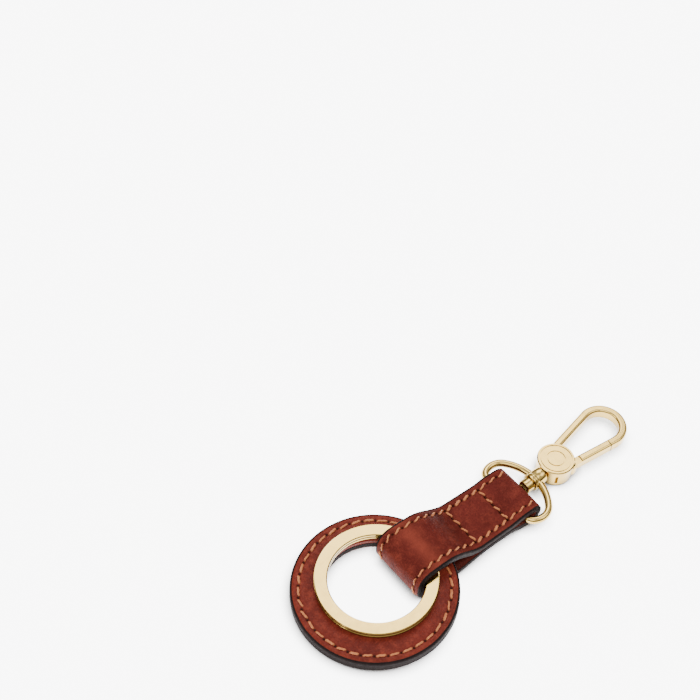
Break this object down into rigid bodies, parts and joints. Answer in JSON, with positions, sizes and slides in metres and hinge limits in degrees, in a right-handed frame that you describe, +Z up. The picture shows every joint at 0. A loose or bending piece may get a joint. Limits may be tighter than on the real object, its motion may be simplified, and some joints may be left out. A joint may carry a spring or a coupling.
{
  "type": "keychain",
  "caption": "Leather key fob: a stitched leather disc and a flat split ring held in a strap, with a D-ring and a swivelling snap hook.",
  "frame": {"origin": "on the strap's flat underside, which rests on the table under the disc, on the strap's centre line and 14 mm from the split ring's centre towards the hook", "axes": "+X along the strap from the disc to the hook, +Z up from the table, +Y across the strap"},
  "size_m": [0.1128, 0.0436, 0.0115],
  "materials": {
    "leather": "smooth vegetable-tanned leather, red-brown, semi-gloss",
    "lining": "smooth leather lining, red-brown",
    "edge_paint": "board between the leathers, with dark painted edges",
    "thread": "waxed tan thread",
    "gold_metal": "polished pale gold plating",
    "spring_steel": "drawn steel"
  },
  "bodies": {
    "strap": {"strap_leather": "leather", "strap_lining": "lining", "strap_edge_stitching": "thread", "cross_stitch_hook_end": "thread"},
    "ring_loop": {"loop_leather": "leather", "loop_lining": "lining", "loop_edge_stitching": "thread", "cross_stitch_ring_end": "thread"},
    "disc": {"disc_top_leather": "leather", "disc_core": "edge_paint", "disc_bottom_leather": "leather", "disc_stitching": "thread"},
    "key_ring": {"split_ring": "gold_metal"},
    "dee": {"d_ring": "gold_metal"},
    "hook": {"swivel_washer": "gold_metal", "swivel_pin": "gold_metal", "hook_body": "gold_metal", "emblem_cap": "gold_metal", "gate_pin": "spring_steel", "gate_spring": "spring_steel"},
    "gate_body": {"gate": "gold_metal"}
  },
  "joints": [
    {"name": "strap_bend", "type": "hinge", "parent": "ring_loop", "child": "strap", "pos_m": [0.0165, 0, 0.00367], "axis": [0, 1, 0], "range_deg": [-45, 45]},
    {"name": "disc_spin", "type": "hinge", "parent": "ring_loop", "child": "disc", "pos_m": [-0.0152, -0.0005, 0.00171], "axis": [-0.0785, 0, 0.9969], "continuous": true},
    {"name": "ring_spin", "type": "hinge", "parent": "ring_loop", "child": "key_ring", "pos_m": [-0.0143, 0.0003, 0.00555], "axis": [-0.0785, 0, 0.9969], "continuous": true},
    {"name": "d_ring_swing", "type": "hinge", "parent": "strap", "child": "dee", "pos_m": [0.0315, 0.0005, 0.00325], "axis": [0, 1, 0], "range_deg": [-115, 115]},
    {"name": "hook_swivel", "type": "hinge", "parent": "dee", "child": "hook", "pos_m": [0.042, 0.0005, 0.00325], "axis": [0.9981, 0.061, 0], "continuous": true},
    {"name": "gate_open", "type": "hinge", "parent": "hook", "child": "gate_body", "pos_m": [0.0525, -0.00211, 0.00325], "axis": [0, 0, 1], "range_deg": [0, 28], "stiffness_Nm_per_rad": 0.02, "springref_deg": -34.38}
  ]
}
